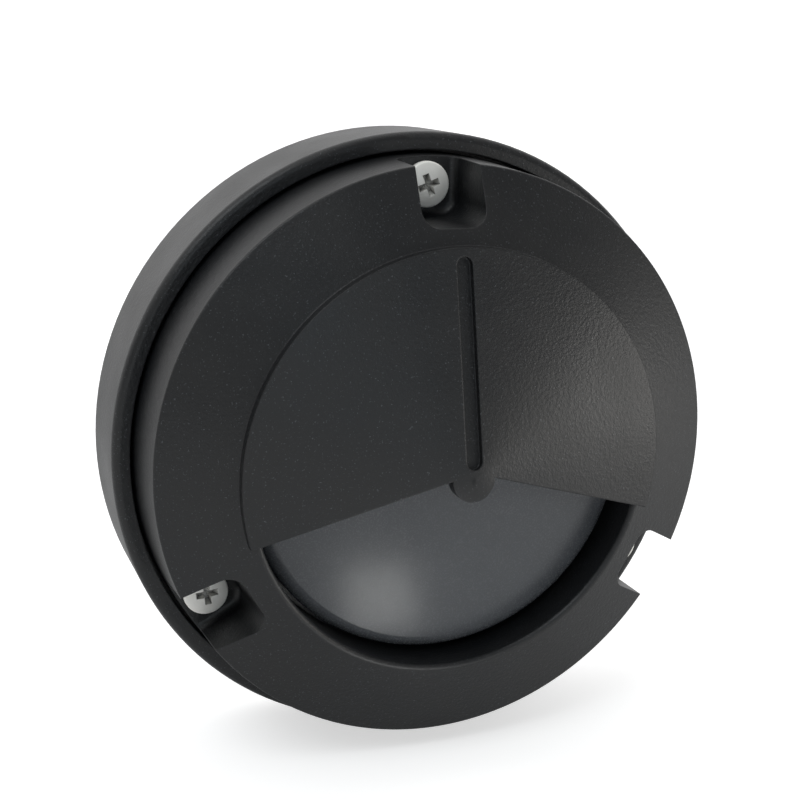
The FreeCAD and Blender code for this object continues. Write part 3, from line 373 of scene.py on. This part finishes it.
# %% [markdown]
# ## Screws
#
# Three stainless pan heads are the brightest things on the light, so they are made properly: a
# domed head with a tapered cross recess, and a shank with a real thread. One screw is turned on the
# workbench as a stack of rings, head up and with its seat at the origin, in millimetres.


# %% A closed mesh from a stack of rings
def turned_piece(name, rings):
    """Closed piece through rings of points, with a pole at each end."""
    mesh = bmesh.new()
    lowest = mesh.verts.new(rings[0])
    highest = mesh.verts.new(rings[-1])
    loops = [[mesh.verts.new(point) for point in ring] for ring in rings[1:-1]]
    around = len(loops[0])
    for index in range(around):
        after = (index + 1) % around
        mesh.faces.new((lowest, loops[0][after], loops[0][index]))
        mesh.faces.new((highest, loops[-1][index], loops[-1][after]))
        for low, high in zip(loops, loops[1:]):
            mesh.faces.new((low[index], low[after], high[after], high[index]))
    data = bpy.data.meshes.new(name)
    mesh.to_mesh(data)
    mesh.free()
    return bpy.data.objects.new(name, data)


print("rings can be made into a piece")

# %% [markdown]
# ## Thread and head
#
# On the shank each ring's radius goes in and out with its angle as well as its height, which winds
# the thread, and the tip is thinner. The head has a short straight side and a shallow crown, which
# is part of a ball.

# %% Rings of a shank and of a head
AROUND = 36
STEPS_IN_A_TURN = 6
THREAD_DEPTH = 0.55          # of the pitch
TIP = 0.55                   # of the shank's radius
TIP_TURNS = 1.5
UNDER_HEAD = 0.02            # from the shank's last ring to the seat
HEAD_SIDE = 0.62             # of the head's height
CROWN_STEPS = (0.94, 0.86, 0.74, 0.6, 0.45, 0.3, 0.15)


def shank_rings(radius, length, pitch):
    """Rings of a threaded shank, from the tip up."""
    rings = [(0, 0, -length)]
    steps = round(length / pitch * STEPS_IN_A_TURN)
    for step in range(steps + 1):
        z = -length + (length - UNDER_HEAD) * step / steps
        thick = radius * min(1.0, TIP + (1 - TIP) * (z + length) / (TIP_TURNS * pitch))
        ring = []
        for index in range(AROUND):
            phase = (z / pitch - index / AROUND) % 1
            out = thick - THREAD_DEPTH * pitch * abs(2 * phase - 1)
            angle = 2 * pi * index / AROUND
            ring.append((out * cos(angle), out * sin(angle), z))
        rings.append(ring)
    return rings


def head_rings(shank, radius, height):
    """Rings of a pan head, from its seat up."""
    side = height * HEAD_SIDE
    ball = (radius * radius + (height - side) ** 2) / (2 * (height - side))
    profile = [(shank, 0), (radius * 0.96, 0), (radius, 0.04 * radius), (radius, side * 0.80),
               (radius * 0.985, side * 0.95)]
    for share in CROWN_STEPS:
        out = radius * share
        profile.append((out, height - ball + sqrt(ball * ball - out * out)))
    angles = [2 * pi * index / AROUND for index in range(AROUND)]
    rings = [[(out * cos(angle), out * sin(angle), z) for angle in angles] for out, z in profile]
    return [*rings, (0, 0, height)]


print("steps round a screw:", AROUND)

# %% [markdown]
# ## Cutters for the recesses
#
# A driver's recess is cut out of the finished blank. The cutter of a cross narrows with depth, as
# the punch that forms the real one does, and that of a slot runs right across.


# %% Cutters
def cross_cutter(reach, half, top, bottom):
    """Rings of a tapered cross."""
    corners = [(reach, half), (half, half), (half, reach), (-half, reach), (-half, half),
               (-reach, half), (-reach, -half), (-half, -half), (-half, -reach), (half, -reach),
               (half, -half), (reach, -half)]
    rings = [(0, 0, bottom - half)]
    for z, share in ((bottom, 0.62), (top, 1.0)):
        width = 0.5 + share / 2        # the arms get shorter faster than they get thinner
        rings.append([(x * (share if abs(x) > abs(y) else width),
                       y * (share if abs(y) > abs(x) else width), z) for x, y in corners])
    return [*rings, (0, 0, top)]


def slot_cutter(reach, half, top, bottom):
    """Rings of a straight slot right across a screw."""
    corners = [(reach, half), (-reach, half), (-reach, -half), (reach, -half)]
    rings = [[(x, y, z) for x, y in corners] for z in (bottom, top)]
    return [(0, 0, bottom), *rings, (0, 0, top)]


print("corners of a cross:", len(cross_cutter(1, 0.3, 1, 0)[1]))

# %% [markdown]
# ## A finished screw
#
# A Boolean modifier takes the cutter out of the blank. The result is kept as a plain mesh, and the
# blank and the cutter are cleared away. The proportions are those of the model's screws, as shares
# of the shank's radius.


# %% Blanks with their recess
def plain_copy(piece, name):
    """The piece as its modifiers leave it, as a mesh of its own."""
    bpy.context.view_layer.update()
    made = piece.evaluated_get(bpy.context.evaluated_depsgraph_get())
    mesh = bpy.data.meshes.new_from_object(made)
    mesh.name = name
    return mesh


def cut_out(name, rings, cutter_rings):
    """Mesh of a turned blank with a recess taken out of it."""
    blank = turned_piece(name, rings)
    cutter = turned_piece(name + "_cutter", cutter_rings)
    for piece in (blank, cutter):
        scene.collection.objects.link(piece)
    cutting = blank.modifiers.new("recess", "BOOLEAN")
    cutting.operation = "DIFFERENCE"
    cutting.object = cutter
    mesh = plain_copy(blank, name)
    for piece in (blank, cutter):
        bpy.data.objects.remove(piece)
    print(name, "has", len(mesh.polygons), "faces")
    return mesh


def pan_screw(name, shank, length, pitch):
    """Pan head with a cross recess."""
    head, height = shank * 1.95, shank * 1.05
    rings = shank_rings(shank, length, pitch) + head_rings(shank, head, height)
    return cut_out(name, rings, cross_cutter(head * 0.53, head * 0.15, height * 1.05, height * 0.2))


def grub_screw(name, shank, length, pitch):
    """Headless screw with a slot."""
    rings = [*shank_rings(shank, length, pitch), (0, 0, -UNDER_HEAD)]
    return cut_out(name, rings, slot_cutter(shank * 1.5, shank * 0.2, shank, -shank * 0.6))


cover_screw = pan_screw("cover_screw", 2.0, 14, 0.7)

# %% [markdown]
# ## Screws in rings and rows
#
# Fasteners repeat, so a small Geometry Nodes tree sets them out. It puts one screw on each point of
# a circle or a row, turns each a little further than the last, as hands leave them, makes the
# copies real and gives them their finish.


# %% The tree that sets screws out
def setting_out_tree():
    """Screws on a circle or in a row, with the real copies and their finish at the end."""
    tree = bpy.data.node_groups.new("set_out_screws", "GeometryNodeTree")
    identifiers = {}
    for name, kind in (("Screw", "Geometry"), ("Count", "Int"), ("In a row", "Bool"),
                       ("Row step", "Float"), ("Circle", "Float"), ("First angle", "Float"),
                       ("First turn", "Float"), ("Turn step", "Float"), ("Finish", "Material")):
        socket = tree.interface.new_socket(name, in_out="INPUT", socket_type="NodeSocket" + kind)
        identifiers[name] = socket.identifier
    tree.interface.new_socket("Screws", in_out="OUTPUT", socket_type="NodeSocketGeometry")
    given = tree.nodes.new("NodeGroupInput").outputs

    def node(kind, inputs, **settings):
        return add_node(tree, kind, inputs, **settings).outputs

    step = node("ShaderNodeCombineXYZ", {"X": given["Row step"]})["Vector"]
    row = node("GeometryNodeMeshLine", {"Count": given["Count"], "Offset": step})["Mesh"]
    angle = node("ShaderNodeCombineXYZ", {"Z": given["First angle"]})["Vector"]
    circle = node("GeometryNodeMeshCircle", {"Vertices": given["Count"],
                                             "Radius": given["Circle"]})["Mesh"]
    circle = node("GeometryNodeTransform", {"Geometry": circle, "Rotation": angle})["Geometry"]
    places = node("GeometryNodeSwitch", {"Switch": given["In a row"], "False": circle,
                                         "True": row}, input_type="GEOMETRY")["Output"]
    index = node("GeometryNodeInputIndex", {})["Index"]
    turn = node("ShaderNodeMath", {0: index, 1: given["Turn step"], 2: given["First turn"]},
                operation="MULTIPLY_ADD")["Value"]
    turn = node("ShaderNodeCombineXYZ", {"Z": turn})["Vector"]
    copies = node("GeometryNodeInstanceOnPoints", {"Points": places, "Instance": given["Screw"],
                                                   "Rotation": turn})["Instances"]
    real = node("GeometryNodeRealizeInstances", {"Geometry": copies})["Geometry"]
    done = node("GeometryNodeSetMaterial", {"Geometry": real,
                                            "Material": given["Finish"]})["Geometry"]
    add_node(tree, "NodeGroupOutput", {"Screws": done})
    return tree, identifiers


set_out, socket_ids = setting_out_tree()
print("inputs of the tree:", ", ".join(socket_ids))

# %% [markdown]
# ## Fit every fastener
#
# Each group of fasteners replaces the plain group of the same name in the model, in the same
# place. Most stand on a circle with their heads to the front. The lens retainer's screws go in from
# behind, so that group is turned over, and the terminal block's screws stand in rows. A group is
# fitted by its node's name, its screw and how far its seat is from the wall.


# %% Fit a group
def fit_screws(node, mesh, seat, finish="zinc_steel", count=3, circle=0.0, first_angle=90.0,
               row_step=0.0, shift=(0, 0), first_turn=0.0, turn_step=0.0, to_wall=False):
    """Set a group out, stand it on the wall and let it replace the model's plain group."""
    bench = bpy.data.objects.new(node + "_bench", mesh)
    scene.collection.objects.link(bench)
    setting = bench.modifiers.new("set_out", "NODES")
    setting.node_group = set_out
    values = {"Count": count, "In a row": circle == 0, "Row step": row_step, "Circle": circle,
              "First angle": radians(-first_angle if to_wall else first_angle),
              "First turn": radians(first_turn), "Turn step": radians(turn_step),
              "Finish": finishes[finish]}
    for name, value in values.items():
        setting[socket_ids[name]] = value
    group = plain_copy(bench, node + "_made")
    bpy.data.objects.remove(bench)
    flip = Matrix.Rotation(pi, 4, "X") if to_wall else Matrix()
    group.transform(ON_WALL @ Matrix.Translation((*shift, seat)) @ flip)
    piece = bpy.data.objects.new(node + "_made", group)
    scene.collection.objects.link(piece)
    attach(piece, "root")
    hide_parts(node)
    print(node, "has", len(group.polygons), "faces")


fit_screws("cover_screws", cover_screw, 20.2, "stainless",
           circle=45.35, first_turn=20, turn_step=-13)
fit_screws("tray_screws", pan_screw("tray_screw", 1.5, 6, 0.5), 14.2,
           circle=29.2, first_angle=30, turn_step=33)
fit_screws("board_screws", pan_screw("board_screw", 1.25, 4, 0.45), 16.2,
           circle=18, first_turn=12, turn_step=25)
fit_screws("retainer_screws", pan_screw("retainer_screw", 1.45, 6.5, 1.1), 20.5,
           circle=43, first_angle=30, turn_step=21, to_wall=True)
fit_screws("earth_screw", pan_screw("earth_screw", 2.0, 6, 0.7), 7.8, count=1, shift=(20, 8))
fit_screws("block_screws", pan_screw("block_screw", 1.25, 8.6, 0.45), 9.95,
           count=2, row_step=9, shift=(-4.5, -15), turn_step=40)
fit_screws("terminal_screws", grub_screw("terminal_screw", 1.3, 3.07, 0.5), 11.4,
           row_step=9, shift=(-9, -15), first_turn=15, turn_step=50)

# %% [markdown]
# ## Floor
#
# The light stands on a pale floor, just clear of its lowest point.

# %% Floor
HALF_FLOOR = 4.0
FLOOR_GAP = 0.3 * MM
floor_level = cad_low.z - FLOOR_GAP
floor_mesh = bpy.data.meshes.new("floor")
floor_mesh.from_pydata([(x * HALF_FLOOR, y * HALF_FLOOR, floor_level)
                        for x, y in ((-1, -1), (1, -1), (1, 1), (-1, 1))], [], [(0, 1, 2, 3)])
floor = bpy.data.objects.new("floor", floor_mesh)
scene.collection.objects.link(floor)
print("floor level in mm:", round(floor_level / MM, 1))

# %% [markdown]
# ## Pale floor
#
# Lit plainly, the floor would look light grey. So it glows for rays that look at it: fully for the
# camera, and only slightly for gloss, because a black coat would turn grey in it. Rays that carry
# light to the object don't see the glow, and the floor keeps the object's shadow.


# %% Pale floor
def looking(tree, path):
    """1 for rays from the camera or through glass, and 0 for rays that only carry light."""
    rays = {0: path["Is Camera Ray"], 1: path["Is Transmission Ray"]}
    return add_node(tree, "ShaderNodeMath", rays, operation="MAXIMUM").outputs["Value"]


LIFT_SEEN, LIFT_IN_GLOSS = 0.55, 0.06
pale = bpy.data.materials.new("pale_floor")
pale.use_nodes = True
tree = pale.node_tree
path = add_node(tree, "ShaderNodeLightPath").outputs
in_gloss = add_node(tree, "ShaderNodeMath", {0: path["Is Glossy Ray"], 1: LIFT_IN_GLOSS},
                    operation="MULTIPLY").outputs["Value"]
glow = add_node(tree, "ShaderNodeMath", {0: looking(tree, path), 1: LIFT_SEEN, 2: in_gloss},
                operation="MULTIPLY_ADD").outputs["Value"]
for name, value in (("Base Color", (0.82, 0.82, 0.82)), ("Roughness", 0.9),
                    ("Specular IOR Level", 0.1), ("Emission Color", (1, 1, 1)),
                    ("Emission Strength", glow)):
    plug(tree, tree.nodes["Principled BSDF"], name, value)
floor_mesh.materials.append(pale)
print("made:", pale.name)

# %% [markdown]
# ## World
#
# All round is a white booth that is open at the front. Its light is brightest from behind and fades
# towards the open front, which is what gives a black object its pale rim and dark face, and gloss
# sees it the same way. The camera and glass see it plain white.

# %% World
TO_THE_BACK = (0.0, 0.97, 0.25)
FRONT_GLOW, BACK_GLOW = 0.28, 1.0
FADE = (-0.4, 0.5)
world = bpy.data.worlds.new("booth")
world.use_nodes = True
scene.world = world
tree = world.node_tree
direction = add_node(tree, "ShaderNodeTexCoord").outputs["Generated"]
backness = add_node(tree, "ShaderNodeVectorMath", {0: direction, 1: TO_THE_BACK},
                    operation="DOT_PRODUCT").outputs["Value"]
booth_glow = add_node(tree, "ShaderNodeMapRange", {
    "Value": backness, "From Min": FADE[0], "From Max": FADE[1],
    "To Min": FRONT_GLOW, "To Max": BACK_GLOW}, interpolation_type="SMOOTHSTEP").outputs["Result"]
seen = looking(tree, add_node(tree, "ShaderNodeLightPath").outputs)
strength = add_node(tree, "ShaderNodeMath", {0: seen, 1: booth_glow}, operation="MAXIMUM")
plug(tree, tree.nodes["Background"], "Color", (1, 1, 1))
plug(tree, tree.nodes["Background"], "Strength", strength.outputs["Value"])
print("glow at the front and back:", FRONT_GLOW, BACK_GLOW)

# %% [markdown]
# ## Lamps
#
# A large soft light stands high on the left. A small warm one, low on the right, puts the sheen on
# the cover's right side. A cool one stands in front, and a very weak one lies just above the floor
# and gives the lens its soft highlight.


# %% Lamps
def soft_light(name, place, side, power, colour):
    """Square area light that looks at the cover's centre."""
    data = bpy.data.lights.new(name, "AREA")
    data.size, data.energy, data.color = side, power, colour
    lamp = bpy.data.objects.new(name, data)
    lamp.location = place
    lamp.rotation_euler = (cover_centre - Vector(place)).to_track_quat("-Z", "Y").to_euler()
    scene.collection.objects.link(lamp)
    print(name, "is", round(1000 * (cover_centre - Vector(place)).length), "mm away")


for lamp in (
        ("key", (-0.55, -0.55, 0.95), 0.6, 3.3, (0.92, 0.97, 1.0)),
        ("fill", (0.22, -0.165, -0.008), 0.085, 0.125, (1.0, 0.97, 0.92)),
        ("front", (-0.04, -0.98, 0.22), 0.2, 0.35, (0.72, 0.88, 1.0)),
        ("glow", (-0.0008, -0.068, -0.0464), 0.018, 0.0034, (1.0, 1.0, 0.98))):
    soft_light(*lamp)
scene.view_settings.view_transform = "Standard"
